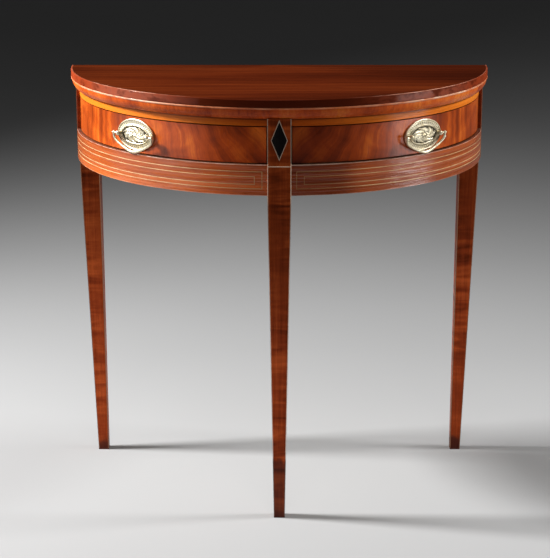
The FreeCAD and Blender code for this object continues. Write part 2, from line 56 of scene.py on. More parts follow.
MM = 0.001
MERGE = 1e-7                        # points nearer than this are one
ARC_Y = 0.1975                      # the bow's centre, behind the table's middle, in metres
FACE_RADIUS = 0.3755                # of the drawers' bowed faces
FRIEZE_MIDDLE = 0.68                # the height that the drawers' figure is drawn about
MEAN_TONE = 0.5                     # of a noise
SEED_STRIDE = (1.0, 1.7, 2.3)       # how far a seed shifts a noise along each axis
BANDING_RATE = 9.0                  # lengths of crossbanding to a metre
PATCH_RATES = (38.0, 60.0, 60.0)    # of the spots in patchy marks, mostly painted highlights and shade
PATCH_SEED = 3.0
TOP_ARRIS = (0.388, 0.3885)         # reach of the top's eased arris
TOP_EDGE = (0.3899, 0.3907)         # reach of the top's upright edge
MOULDING_LIP = (0.7424, 0.7432)     # height of the bead on the moulding
RIGHT_OF_POST = (0.0, 0.02)         # where the right-hand half of the bow starts


class Grain(Enum):
    """Which way a board's grain runs."""

    ACROSS_TABLE = "across the table"
    FRONT_TO_BACK = "front to back"
    UPRIGHT = "upright"
    ROUND_BOW = "round the bow"
    UP_BOW = "upright on the bow"


class Figure(Enum):
    """What the grain draws on a board's face."""

    PLAIN = "plain streaks"
    CURL = "curl across the grain"
    FLAME = "flame from a crotch"
    CROSSBAND = "short upright lengths"


class Measure(Enum):
    """What a mark is placed by. Most marks are painted highlights and shade; the others tint or darken the
    wood.
    """

    HEIGHT = "height above the floor"
    REACH = "distance from the bow's centre"
    ROUND = "distance round the bow from its middle"
    RIGHTWARD = "distance round the bow to the right of its middle"


class Lay(Enum):
    """How a colour is laid on another, by its blend type."""

    COVER = "MIX"
    SHADE = "MULTIPLY"


class Skin(Enum):
    """What a bump raises, by the shader's input."""

    BODY = "Normal"
    POLISH = "Coat Normal"


class Side(Enum):
    """The two halves of the table, as signs along X."""

    LEFT = -1
    RIGHT = 1

    @property
    def label(self) -> str:
        """The side's word in node and body names."""
        return self.name.lower()


class NodeBench:
    """A tree of nodes, and the way to add to it."""

    def __init__(self, tree: bpy.types.NodeTree) -> None:
        """Take up a tree."""
        self.tree = tree

    def feed(self, socket: Socket, value: object) -> None:
        """Link a socket to another, or set its own value.

        Args:
            socket: The input to fill.
            value: An output socket, or what the input itself holds.
        """
        if isinstance(value, Socket):
            self.tree.links.new(value, socket)
        else:
            socket.default_value = value

    def node(self, kind: str, inputs: dict[Union[str, int], object], **settings: object) -> bpy.types.Node:
        """Add a node.

        Args:
            kind: The node's type name.
            inputs: Values or sockets by input name or number.
            settings: The node's own properties.

        Returns:
            The new node.
        """
        made = self.tree.nodes.new(kind)
        for key, value in settings.items():
            setattr(made, key, value)
        for key, value in inputs.items():
            self.feed(made.inputs[key], value)
        return made


class Shader(NodeBench):
    """One material, with short ways to shade it."""

    def __init__(self, name: str) -> None:
        """Start a material that has a Principled shader.

        Args:
            name: The material's name.
        """
        self.material = bpy.data.materials.new(name)
        self.material.use_nodes = True
        super().__init__(self.material.node_tree)
        self.principled = next(n for n in self.tree.nodes if n.type == "BSDF_PRINCIPLED")

    def math(self, operation: str, first: Scalar, second: Scalar = 0.0) -> Socket:
        """The result of a Math node."""
        return self.node("ShaderNodeMath", {0: first, 1: second}, operation=operation).outputs[0]

    def plus(self, first: Scalar, second: Scalar) -> Socket:
        """The sum of two numbers."""
        return self.math("ADD", first, second)

    def times(self, first: Scalar, second: Scalar) -> Socket:
        """The product of two numbers."""
        return self.math("MULTIPLY", first, second)

    def swing(self, tone: Scalar, amount: float) -> Socket:
        """A tone's swing about its mean, by an amount."""
        return self.times(self.plus(tone, -MEAN_TONE), amount)

    def blended(self, tones: Sequence[tuple[Socket, float]]) -> Socket:
        """Add up tones by their shares.

        Args:
            tones: Each tone with its share.

        Returns:
            The sum.
        """
        total = self.times(*tones[0])
        for tone, share in tones[1:]:
            total = self.plus(total, self.times(tone, share))
        return total

    def vector(self, x: Scalar, y: Scalar, z: Scalar) -> Socket:
        """A vector from three numbers."""
        return self.node("ShaderNodeCombineXYZ", {0: x, 1: y, 2: z}).outputs[0]

    def noise(self, spot: Socket, rates: Triple, seed: float, detail: float = 2.0, roughness: float = 0.5,
              distortion: float = 0.0) -> Socket:
        """Add a Noise Texture that is stretched axis by axis.

        Args:
            spot: The place on the piece, in metres.
            rates: Cycles per metre along each axis.
            seed: A shift that makes one pattern unlike another.
            detail: Octaves of finer noise.
            roughness: How much of it the finer octaves make up.
            distortion: How far it is pulled about.

        Returns:
            A tone, about a half on the mean.
        """
        inputs = {0: spot, 1: rates, 2: tuple(seed * stride for stride in SEED_STRIDE)}
        stretched = self.node("ShaderNodeVectorMath", inputs, operation="MULTIPLY_ADD").outputs[0]
        inputs = {"Vector": stretched, "Scale": 1.0, "Detail": detail, "Roughness": roughness,
                  "Distortion": distortion}
        return self.node("ShaderNodeTexNoise", inputs).outputs[0]

    def band(self, value: Scalar, low: float, high: float, start: float = 0.0, end: float = 1.0) -> Socket:
        """A range of a value, from low to high, mapped smoothly on the range from start to end."""
        inputs = {"Value": value, "From Min": low, "From Max": high, "To Min": start, "To Max": end}
        return self.node("ShaderNodeMapRange", inputs, interpolation_type="SMOOTHSTEP").outputs[0]

    def ramp(self, factor: Scalar, stops: Sequence[tuple[float, Triple]]) -> Socket:
        """Add a Color Ramp.

        Args:
            factor: The number that it reads.
            stops: Places from 0 to 1 with their colours.

        Returns:
            The colour.
        """
        made = self.node("ShaderNodeValToRGB", {0: factor})
        marks = made.color_ramp.elements
        while len(marks) < len(stops):
            marks.new(1.0)
        for mark, (place, colour) in zip(marks, stops):
            mark.position = place
            mark.color = (*colour, 1.0)
        return made.outputs[0]

    def blend(self, factor: Scalar, first: object, second: object, lay: Lay = Lay.COVER) -> Socket:
        """Lay a colour on another.

        Args:
            factor: The second one's share.
            first: A colour or its socket.
            second: A colour or its socket.
            lay: How the second one is laid on the first.

        Returns:
            The mixed colour.
        """
        made = self.node("ShaderNodeMix", {0: factor}, data_type="RGBA", blend_type=lay.value)
        for socket, value in ((made.inputs[6], first), (made.inputs[7], second)):
            self.feed(socket, (*value, 1.0) if isinstance(value, tuple) else value)
        return made.outputs[2]

    def place(self) -> Place:
        """The surface's X, Y and Z in the table's frame."""
        spot = self.node("ShaderNodeTexCoord", {}).outputs["Object"]
        return tuple(self.node("ShaderNodeSeparateXYZ", {0: spot}).outputs)

    def bow_place(self) -> Place:
        """The surface's place on the bow.

        Returns:
            The length round it from its middle, the height, and the distance from its centre.
        """
        x, y, z = self.place()
        ahead = self.math("SUBTRACT", ARC_Y, y)
        turn = self.math("ARCTAN2", x, ahead)
        out = self.math("SQRT", self.plus(self.times(x, x), self.times(ahead, ahead)))
        return self.times(turn, FACE_RADIUS), z, out

    def bump(self, height: Scalar, strength: float, depth: float, skin: Skin = Skin.BODY) -> None:
        """Raise a skin by a share of a height pattern whose full depth is in metres."""
        made = self.node("ShaderNodeBump", {"Strength": strength, "Distance": depth, "Height": height})
        self.feed(self.principled.inputs[skin.value], made.outputs[0])

    def finish(self, **inputs: object) -> Material:
        """Fill the Principled shader's inputs.

        Args:
            inputs: Values or sockets by input name, with _ for spaces.

        Returns:
            The material.
        """
        for name, value in inputs.items():
            self.feed(self.principled.inputs[name.replace("_", " ")], value)
        return self.material


@dataclass(frozen=True)
class Mark:
    """A stretch where a finish is paler or darker.

    It fades in from start to full, and stays so beyond. One with sides also fades in from the first to the
    second distance round the bow, and a patchy one comes and goes in spots.
    """

    measure: Measure
    start: float
    full: float
    tint: Triple
    share: float = 1.0
    patchy: float = 0.0
    lay: Lay = Lay.COVER
    sides: Point | None = None

    def apply(self, shader: Shader, colour: Socket) -> Socket:
        """Lay the mark on a colour.

        Args:
            shader: The material that is made.
            colour: The colour under the mark.

        Returns:
            The marked colour.
        """
        along, up, out = shader.bow_place()
        levels = {Measure.HEIGHT: up, Measure.REACH: out, Measure.RIGHTWARD: along,
                  Measure.ROUND: shader.math("ABSOLUTE", along)}
        share = shader.band(levels[self.measure], self.start, self.full, 0.0, self.share)
        if self.sides:
            share = shader.times(share, shader.band(levels[Measure.ROUND], *self.sides))
        if self.patchy:
            spots = shader.noise(shader.vector(along, up, out), PATCH_RATES, PATCH_SEED, 3.0, 0.6)
            share = shader.times(share, shader.band(spots, 0.35, 0.65, 1.0 - self.patchy, 1.0))
        return shader.blend(share, colour, self.tint, self.lay)


def shade(measure: Measure, start: float, full: float, tint: Triple, sides: Point | None = None) -> Mark:
    """A mark that lets the colour under it through."""
    return Mark(measure, start, full, tint, lay=Lay.SHADE, sides=sides)


@dataclass(frozen=True)
class WoodFinish:
    """A wood with its figure, polish and age, and its marks, most of them painted light and shade. Rates are
    in cycles per metre, and depths in metres.
    """

    name: str
    dark: Triple
    middle: Triple
    light: Triple
    grain: Grain
    figure: Figure = Figure.PLAIN
    streak_rate: float = 150.0
    contrast: float = 1.0
    roughness: float = 0.3
    sheen: float = 0.1
    polish: float = 0.3
    polish_roughness: float = 0.09
    polish_wave: float = 0.0
    pore_depth: float = 0.00012
    # whether the feet are darker towards the floor, the front one up to a line
    soiled_feet: bool = False
    seed: float = 1.0
    marks: tuple[Mark, ...] = ()

    def make(self) -> Material:
        """Build the finish."""
        return WoodShader(self).build()


class WoodShader(Shader):
    """The material of a wood, laid on layer by layer."""

    def __init__(self, wood: WoodFinish) -> None:
        """Start the material.

        Args:
            wood: The finish that it shows.
        """
        super().__init__(wood.name)
        self.wood = wood
        self.seed = wood.seed
        self.spot = self.axes()

    def axes(self) -> Socket:
        """The place on the board, with its first axis along the grain.

        Returns:
            A vector in metres.
        """
        grain = self.wood.grain
        if grain in (Grain.ROUND_BOW, Grain.UP_BOW):
            along, up, out = self.bow_place()
            return self.vector(along, up, out) if grain is Grain.ROUND_BOW else self.vector(up, along, out)
        x, y, z = self.place()
        orders = {Grain.ACROSS_TABLE: (x, y, z), Grain.FRONT_TO_BACK: (y, x, z), Grain.UPRIGHT: (z, x, y)}
        return self.vector(*orders[grain])

    def streaks(self) -> Socket:
        """Light and dark streaks along the grain.

        Returns:
            A tone, about a half on the mean.
        """
        rate = self.wood.streak_rate
        broad = self.noise(self.spot, (1.3, rate / 11, rate / 11), self.seed, distortion=0.3)
        lines = self.noise(self.spot, (3.2, rate, rate), self.seed + 3.1, 5.0, 0.62, 0.15)
        fine = self.noise(self.spot, (22.0, rate * 6, rate * 6), self.seed + 7.7, roughness=0.6)
        return self.blended(((broad, 0.5), (lines, 0.38), (fine, 0.12)))

    def curl(self) -> Socket:
        """Bands of shimmer across the grain.

        Returns:
            A shift of tone about 0.
        """
        ripple = self.noise(self.spot, (52.0, 9.0, 9.0), self.seed + 11.0, 2.0, 0.55, 0.9)
        patch = self.noise(self.spot, (5.0, 12.0, 12.0), self.seed + 13.0, 1.0)
        return self.times(self.swing(ripple, 0.9), self.band(patch, 0.3, 0.65))

    def flame(self) -> Socket:
        """Plumes that lean away from the front post, the same on both drawers as matched leaves are.

        Returns:
            A tone, about a half on the mean.
        """
        along, up, _ = self.bow_place()
        off = self.math("ABSOLUTE", along)
        rise = self.plus(up, -FRIEZE_MIDDLE)
        lean = self.band(off, 0.03, 0.22, 0.95, 0.06)
        spot = self.vector(off, rise, 0.0)
        sway = self.noise(spot, (8.0, 11.0, 1.0), self.seed + 2.0)
        ripple = self.noise(spot, (30.0, 34.0, 1.0), self.seed + 5.0)
        line = self.math("SUBTRACT", off, self.times(lean, rise))
        line = self.plus(line, self.swing(sway, 0.055))
        line = self.plus(line, self.swing(ripple, 0.006))
        warped = self.vector(line, rise, 0.0)
        plumes = self.noise(warped, (22.0, 4.0, 1.0), self.seed, distortion=0.3)
        lines = self.noise(warped, (95.0, 6.0, 1.0), self.seed + 17.0, 4.0, 0.6, 0.2)
        fine = self.noise(warped, (520.0, 22.0, 1.0), self.seed + 19.0, roughness=0.6)
        glow = self.noise(spot, (13.0, 16.0, 1.0), self.seed + 23.0, distortion=1.2)
        return self.blended(((plumes, 0.4), (lines, 0.24), (fine, 0.1), (glow, 0.26)))

    def crossband(self) -> Socket:
        """Short upright lengths of veneer, each of its own tone.

        Returns:
            A shift of tone about 0.
        """
        round_bow = self.node("ShaderNodeSeparateXYZ", {0: self.spot}).outputs[1]
        length = self.math("FLOOR", self.times(round_bow, BANDING_RATE))
        own = self.node("ShaderNodeTexWhiteNoise", {"W": length}, noise_dimensions="1D").outputs["Value"]
        return self.swing(own, 0.12)

    def soil(self, colour: Socket) -> Socket:
        """Darken the feet: all close to the floor, and the front one further up, to a blurred line.

        Args:
            colour: The wood's colour.

        Returns:
            The colour with its soiled end.
        """
        x, y, z = self.place()
        blur = self.noise(self.vector(x, y, z), (60.0, 60.0, 25.0), self.seed, 3.0)
        height = self.plus(z, self.swing(blur, 0.03))
        front = self.band(y, 0.0, -0.05)
        line = self.plus(self.times(front, -0.088), self.plus(height, -0.02))
        darkened_front = self.blend(self.band(line, 0.006, -0.004, 0.0, 0.6), colour, (0.05, 0.02, 0.017))
        return self.blend(self.band(height, 0.045, 0.0, 0.0, 0.6), darkened_front, (0.03, 0.013, 0.012))

    def build(self) -> Material:
        """Lay on the figure, the pores, the wear, the marks, which are mostly painted light and shade, and
        the polish.

        Returns:
            The material.
        """
        wood = self.wood
        tone = self.flame() if wood.figure is Figure.FLAME else self.streaks()
        if wood.figure is Figure.CURL:
            tone = self.plus(tone, self.curl())
        if wood.figure is Figure.CROSSBAND:
            tone = self.plus(tone, self.crossband())
        tone = self.plus(self.swing(tone, 2.0 * wood.contrast), MEAN_TONE)
        colour = self.ramp(tone, ((0.08, wood.dark), (0.5, wood.middle), (0.92, wood.light)))
        pores = self.band(self.noise(self.spot, (75.0, 2300.0, 2300.0), self.seed + 29.0, 1.0), 0.6, 0.72)
        colour = self.blend(self.times(pores, 0.45), colour, tuple(0.35 * c for c in wood.dark))
        wear = self.noise(self.spot, (9.0, 21.0, 21.0), self.seed + 31.0, 3.0, 0.6)
        colour = self.blend(self.band(wear, 0.55, 0.8, 0.0, 0.28), colour, wood.dark)
        for mark in wood.marks:
            colour = mark.apply(self, colour)
        if wood.soiled_feet:
            colour = self.soil(colour)
        self.bump(self.blended(((tone, 0.25), (pores, -1.0))), 0.35, wood.pore_depth)
        if wood.polish_wave:
            rubbed = self.noise(self.spot, (7.0, 190.0, 190.0), self.seed + 37.0)
            self.bump(rubbed, 1.0, wood.polish_wave, Skin.POLISH)
        gloss = self.band(wear, 0.3, 0.75, wood.roughness - 0.05, wood.roughness + 0.12)
        return self.finish(Base_Color=colour, Roughness=gloss, Specular_IOR_Level=wood.sheen,
                           Coat_Weight=wood.polish, Coat_Roughness=wood.polish_roughness)


@dataclass(frozen=True)
class BrassFinish:
    """Polished brass, darker in the hollows that the cloth doesn't reach."""

    name: str = "old_brass"
    bright: Triple = (0.8, 0.73, 0.55)
    warm: Triple = (0.64, 0.55, 0.36)
    tarnish: Triple = (0.022, 0.014, 0.006)

    def make(self) -> Material:
        """Build the finish.

        Returns:
            The material.
        """
        shader = Shader(self.name)
        spot = shader.vector(*shader.place())
        cloud = shader.noise(spot, (95.0, 95.0, 95.0), 2.0, 3.0, 0.6)
        grit = shader.noise(spot, (900.0, 900.0, 900.0), 4.0, 2.0, 0.6)
        colour = shader.blend(shader.band(cloud, 0.35, 0.7), self.bright, self.warm)
        hollow = shader.node("ShaderNodeAttribute", {}, attribute_name="hollow").outputs["Fac"]
        dull = shader.plus(hollow, shader.band(cloud, 0.62, 0.85, 0.0, 0.2))
        colour = shader.blend(shader.math("MINIMUM", dull, 0.96), colour, self.tarnish)
        gloss = shader.plus(shader.times(dull, 0.3), shader.band(cloud, 0.3, 0.7, 0.36, 0.46))
        shader.bump(grit, 0.12, 0.00008)
        return shader.finish(Base_Color=colour, Roughness=gloss, Metallic=1.0)


@dataclass(frozen=True)
class IronFinish:
    """Dark iron of old screws, with a bloom of rust."""

    name: str = "old_iron"
    bare: Triple = (0.17, 0.165, 0.16)
    rust: Triple = (0.11, 0.045, 0.02)

    def make(self) -> Material:
        """Build the finish.

        Returns:
            The material.
        """
        shader = Shader(self.name)
        cloud = shader.noise(shader.vector(*shader.place()), (420.0, 420.0, 420.0), 1.0, 4.0, 0.65)
        colour = shader.blend(shader.band(cloud, 0.48, 0.66), self.bare, self.rust)
        gloss = shader.band(cloud, 0.4, 0.7, 0.38, 0.8)
        shader.bump(cloud, 0.3, 0.0002)
        return shader.finish(Base_Color=colour, Roughness=gloss, Metallic=0.85)


@dataclass(frozen=True)
class FloorFinish:
    """Plain pale studio floor."""

    name: str = "pale_floor"
    pale: Triple = (0.46, 0.46, 0.46)

    def make(self) -> Material:
        """Build the finish.

        Returns:
            The material.
        """
        shader = Shader(self.name)
        cloud = shader.noise(shader.vector(*shader.place()), (0.9, 0.9, 0.9), 1.0)
        colour = shader.blend(shader.band(cloud, 0.3, 0.7), self.pale, tuple(0.97 * c for c in self.pale))
        return shader.finish(Base_Color=colour, Roughness=0.75)


PINE = WoodFinish("pine_across", (0.33, 0.19, 0.075), (0.58, 0.38, 0.18), (0.74, 0.55, 0.31),
                  Grain.ACROSS_TABLE, streak_rate=95.0, roughness=0.62, polish=0.0, seed=29.0)
POPLAR = WoodFinish("poplar_deep", (0.4, 0.28, 0.13), (0.62, 0.48, 0.27), (0.76, 0.63, 0.4),
                    Grain.FRONT_TO_BACK, streak_rate=110.0, roughness=0.58, polish=0.0, seed=41.0)
WOODS = (
    WoodFinish("top_mahogany", (0.027, 0.0037, 0.001), (0.068, 0.0095, 0.002), (0.135, 0.023, 0.0045),
               Grain.ACROSS_TABLE, streak_rate=75.0, contrast=1.1, sheen=0.0, polish=0.12, seed=2.0, marks=(
                   # painted shade: the top darker towards its ends
                   shade(Measure.ROUND, 0.3, 0.52, (0.72, 0.72, 0.8)),
                   # painted highlight: a patchy pale line along the eased arris, away from the middle
                   Mark(Measure.REACH, *TOP_ARRIS, (0.9, 0.46, 0.32), 0.85, 0.8, sides=(0.1, 0.26)),
                   # painted shade: the arris dark at the far ends
                   Mark(Measure.REACH, *TOP_ARRIS, (0.2, 0.03, 0.008), 0.9, sides=(0.32, 0.42)),
                   Mark(Measure.REACH, *TOP_EDGE, (0.3, 0.04, 0.01), 0.92, 0.3),
                   # painted shade and dark reflection: dark patches along the upright edge, short of its far
                   # ends
                   Mark(Measure.REACH, *TOP_EDGE, (0.05, 0.008, 0.003), 0.75, 1.0, sides=(0.5, 0.42)),
                   # painted shade: the upright edge near black about the middle
                   Mark(Measure.REACH, *TOP_EDGE, (0.06, 0.009, 0.003), 0.97, sides=(0.24, 0.1)))),
    WoodFinish("moulding_mahogany", (0.33, 0.04, 0.0045), (0.66, 0.105, 0.01), (0.85, 0.23, 0.03),
               Grain.UP_BOW, Figure.CROSSBAND, streak_rate=210.0, contrast=1.3, polish=0.05, seed=5.0,
               marks=(
                   # painted shade: darker towards the middle
                   shade(Measure.ROUND, 0.24, 0.06, (0.58, 0.48, 0.46)),
                   # painted highlight: a patchy pale line on the bead, paler and pinker towards the sides
                   Mark(Measure.HEIGHT, *MOULDING_LIP, (0.75, 0.34, 0.18), 0.5, 0.6),
                   Mark(Measure.HEIGHT, *MOULDING_LIP, (0.9, 0.65, 0.48), 0.75, 0.8, sides=(0.12, 0.3)),
                   # the bead back to orange at the far ends, where the painted highlight stops
                   Mark(Measure.HEIGHT, *MOULDING_LIP, (0.7, 0.15, 0.03), 0.8, sides=(0.36, 0.48)))),
    WoodFinish("rail_mahogany", (0.6, 0.125, 0.01), (0.9, 0.235, 0.018), (0.97, 0.36, 0.036),
               Grain.ROUND_BOW, streak_rate=190.0, polish=0.05, seed=7.0, marks=(
                   # painted shadow: the top of the rail dark under the moulding
                   Mark(Measure.HEIGHT, 0.7215, 0.7255, (0.03, 0.007, 0.003), 0.9),
                   # painted shade: darker towards the middle
                   shade(Measure.ROUND, 0.22, 0.03, (0.5, 0.36, 0.36)))),
    WoodFinish("flame_mahogany", (0.15, 0.018, 0.002), (0.46, 0.07, 0.0064), (0.85, 0.2, 0.02),
               Grain.UP_BOW, Figure.FLAME, contrast=1.6, polish=0.35, polish_roughness=0.28, seed=3.0,
               marks=(
                   # painted shade: darker towards the middle
                   shade(Measure.ROUND, 0.24, 0.05, (0.72, 0.6, 0.5)),
                   shade(Measure.RIGHTWARD, *RIGHT_OF_POST, (0.52, 0.46, 0.4), sides=(0.2, 0.05)))),
    WoodFinish("band_mahogany", (0.16, 0.026, 0.005), (0.4, 0.077, 0.013), (0.7, 0.16, 0.03),
               Grain.ROUND_BOW, streak_rate=120.0, contrast=1.25, polish=0.9, polish_roughness=0.2,
               polish_wave=0.0025, seed=11.0, marks=(
                   # painted shade: a little darker towards the middle
                   shade(Measure.ROUND, 0.2, 0.05, (0.97, 0.86, 0.76)),
                   shade(Measure.RIGHTWARD, *RIGHT_OF_POST, (0.48, 0.42, 0.36), sides=(0.15, 0.1)),
                   # painted highlight: a patchy pale line along the top ledge
                   Mark(Measure.HEIGHT, 0.6456, 0.646, (0.9, 0.62, 0.48), 0.8, 0.6),
                   # painted shade: the top ledge dark behind its front millimetre, by the drawer's gap
                   Mark(Measure.REACH, 0.3819, 0.3814, (0.07, 0.016, 0.007), 0.85),
                   # painted highlight: a patchy pale line along the lower arris
                   Mark(Measure.HEIGHT, 0.5946, 0.5934, (0.75, 0.4, 0.23), 0.5, 0.8))),
    WoodFinish("leg_mahogany", (0.076, 0.011, 0.0025), (0.2, 0.031, 0.0065), (0.36, 0.07, 0.0145),
               Grain.UPRIGHT, Figure.CURL, streak_rate=170.0, sheen=0.02, polish=0.05, soiled_feet=True,
               # painted light and shade: the legs darker under the top and lighter towards the floor
               seed=13.0, marks=(shade(Measure.HEIGHT, 0.56, 0.2, (1.95, 1.85, 2.0)),)),
    WoodFinish("core_mahogany", (0.07, 0.014, 0.004), (0.15, 0.036, 0.01), (0.25, 0.066, 0.02),
               Grain.ROUND_BOW, streak_rate=120.0, roughness=0.55, polish=0.0, seed=15.0),
    WoodFinish("pale_string", (0.5, 0.28, 0.12), (0.78, 0.52, 0.26), (0.92, 0.75, 0.45),
               Grain.ROUND_BOW, streak_rate=420.0, contrast=0.8, polish=0.15, seed=17.0, marks=(
                   # painted shade: darker towards the middle
                   shade(Measure.ROUND, 0.2, 0.05, (0.6, 0.5, 0.45)),
                   shade(Measure.RIGHTWARD, *RIGHT_OF_POST, (0.6, 0.52, 0.48), sides=(0.15, 0.1)),
                   Mark(Measure.ROUND, 0.05, 0.1, (0.4, 0.17, 0.07), 0.6, 1.0))),
    WoodFinish("leg_string", (0.6, 0.37, 0.24), (0.9, 0.64, 0.46), (0.97, 0.8, 0.63),
               Grain.UPRIGHT, streak_rate=420.0, contrast=0.9, polish=0.1, seed=19.0, marks=(
                   # painted shade: the strings darker above the apron band and below it
                   shade(Measure.HEIGHT, 0.6482, 0.6495, (0.45, 0.45, 0.46)),
                   shade(Measure.HEIGHT, 0.594, 0.57, (0.45, 0.38, 0.35)),
                   # painted light: a patchy paler run lower down the legs
                   Mark(Measure.HEIGHT, 0.52, 0.44, (0.93, 0.66, 0.52), 0.85, 0.3),
                   Mark(Measure.HEIGHT, 0.118, 0.106, (0.12, 0.06, 0.05), 0.8))),
    WoodFinish("rear_string", (0.25, 0.11, 0.06), (0.38, 0.19, 0.11), (0.48, 0.28, 0.18),
               Grain.UPRIGHT, streak_rate=420.0, contrast=0.9, sheen=0.0, polish=0.0, seed=19.0),
    WoodFinish("ebony", (0.003, 0.002, 0.002), (0.006, 0.005, 0.005), (0.016, 0.013, 0.012),
               Grain.UPRIGHT, streak_rate=400.0, polish=0.05, seed=23.0),
    PINE,
    replace(PINE, name="pine_deep", grain=Grain.FRONT_TO_BACK, seed=31.0),
    replace(PINE, name="pine_bent", grain=Grain.ROUND_BOW, seed=37.0),
    POPLAR,
    replace(POPLAR, name="poplar_across", grain=Grain.ACROSS_TABLE, seed=43.0),
)


def make_finishes() -> dict[str, Material]:
    """Build every finish, by name."""
    return {kind.name: kind.make() for kind in (*WOODS, BrassFinish(), IronFinish(), FloorFinish())}


def stand(name: str, data: bpy.types.ID) -> bpy.types.Object:
    """Stand data in the scene, at the origin.

    Args:
        name: The object's name.
        data: What it shows, already in place.

    Returns:
        The object.
    """
    made = bpy.data.objects.new(name, data)
    bpy.context.scene.collection.objects.link(made)
    return made


def new_piece(name: str, mesh: Mesh, material: Material) -> bpy.types.Object:
    """Stand a mesh in the scene with its finish.

    Args:
        name: The piece's name.
        mesh: Its mesh.
        material: Its finish.

    Returns:
        The piece.
    """
    mesh.materials.clear()
    mesh.materials.append(material)
    return stand(name, mesh)


def mesh_from(name: str, build: Callable[[BMesh], None], smooth: bool = True) -> Mesh:
    """Make a clean mesh: doubles merged and normals outward.

    Args:
        name: The mesh's name.
        build: What fills it.
        smooth: Whether its faces are shaded smooth.

    Returns:
        The mesh.
    """
    work = bmesh.new()
    build(work)
    bmesh.ops.remove_doubles(work, verts=work.verts, dist=MERGE)
    bmesh.ops.recalc_face_normals(work, faces=work.faces)
    for face in work.faces:
        face.smooth = smooth
    mesh = bpy.data.meshes.new(name)
    work.to_mesh(mesh)
    work.free()
    return mesh


def skin_rings(work: BMesh, rings: Sequence[Sequence[Vector]]) -> None:
    """Join closed rings of points into a skin with closed ends.

    Args:
        work: The mesh that gets it.
        rings: Rings with one count of points.
    """
    rows = [[work.verts.new(point) for point in ring] for ring in rings]
    count = len(rows[0])
    for row, after in zip(rows, rows[1:]):
        for i in range(count):
            j = (i + 1) % count
            work.faces.new((row[i], row[j], after[j], after[i]))
    work.faces.new(rows[0][::-1])
    work.faces.new(rows[-1])


def full_turn(count: int) -> list[float]:
    """Angles that share out a full turn."""
    return [2 * math.pi * i / count for i in range(count)]


def between(start: Point, end: Point, share: float) -> Point:
    """The point that lies a share of the way along a line."""
    return start[0] + (end[0] - start[0]) * share, start[1] + (end[1] - start[1]) * share


class NodeRig(NodeBench):
    """A Geometry Nodes tree with named inputs, and the way to run it once."""

    def __init__(self, name: str, inputs: Sequence[tuple[str, str]]) -> None:
        """Start a tree that takes a geometry and a material.

        Args:
            name: The tree's name.
            inputs: Name and socket type of each input between those two.
        """
        super().__init__(bpy.data.node_groups.new(name, "GeometryNodeTree"))
        face = self.tree.interface
        face.new_socket("Geometry", in_out="INPUT", socket_type="NodeSocketGeometry")
        self.keys = {}
        for label, kind in (*inputs, ("Material", "NodeSocketMaterial")):
            self.keys[label] = face.new_socket(label, in_out="INPUT", socket_type=kind).identifier
        face.new_socket("Geometry", in_out="OUTPUT", socket_type="NodeSocketGeometry")
        self.given = self.tree.nodes.new("NodeGroupInput").outputs
        self.end = self.tree.nodes.new("NodeGroupOutput")

    def set_on(self, points: Socket, shape: Socket) -> None:
        """Set a shape on every point, and end the tree."""
        made = self.node("GeometryNodeInstanceOnPoints", {"Points": points, "Instance": shape})
        self.close(made.outputs[0])

    def close(self, geometry: Socket) -> None:
        """End the tree in real faces, smooth and with the material that it is given.

        Args:
            geometry: What the tree made.
        """
        real = self.node("GeometryNodeRealizeInstances", {"Geometry": geometry})
        smooth = self.node("GeometryNodeSetShadeSmooth", {"Geometry": real.outputs[0]})
        inputs = {"Geometry": smooth.outputs[0], "Material": self.given["Material"]}
        painted = self.node("GeometryNodeSetMaterial", inputs)
        self.feed(self.end.inputs[0], painted.outputs[0])

    def run(self, source: bpy.types.ID, values: dict[str, object], name: str) -> Mesh:
        """Evaluate the tree on a curve or a mesh.

        Args:
            source: The data that the tree starts from.
            values: The tree's inputs by name.
            name: The new mesh's name.

        Returns:
            A plain mesh.
        """
        holder = stand(name + ".path", source)
        rig = holder.modifiers.new(self.tree.name, "NODES")
        rig.node_group = self.tree
        for label, value in values.items():
            rig[self.keys[label]] = value
        holder.update_tag()
        graph = bpy.context.evaluated_depsgraph_get()
        mesh = bpy.data.meshes.new_from_object(holder.evaluated_get(graph), depsgraph=graph)
        mesh.name = name
        bpy.data.objects.remove(holder)
        return mesh


def path_curve(name: str, points: Sequence[Vector], closed: bool) -> bpy.types.Curve:
    """A curve through points.

    Args:
        name: The curve's name.
        points: Its points.
        closed: Whether it runs back to its start.

    Returns:
        The curve.
    """
    curve = bpy.data.curves.new(name, "CURVE")
    curve.dimensions = "3D"
    spline = curve.splines.new("POLY")
    spline.points.add(len(points) - 1)
    for mark, point in zip(spline.points, points):
        mark.co = (*point, 1.0)
    spline.use_cyclic_u = closed
    return curve


@dataclass
class Assembly:
    """A sub-assembly of the table, and the finishes that it is dressed in."""

    finishes: dict[str, Material]

    def build(self) -> None:
        """Make the pieces that stand for CAD nodes, where the sub-assembly has any."""

    def plan(self) -> dict[str, Sequence[str]]:
        """The CAD nodes that get each finish."""
        return {}

    def dress(self) -> None:
        """Give the CAD nodes their finishes through their material slots."""
        for finish, names in self.plan().items():
            for name in names:
                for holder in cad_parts[name].material_slots:
                    holder.material = self.finishes[finish]
                LOG.info("%s: %s", name, finish)


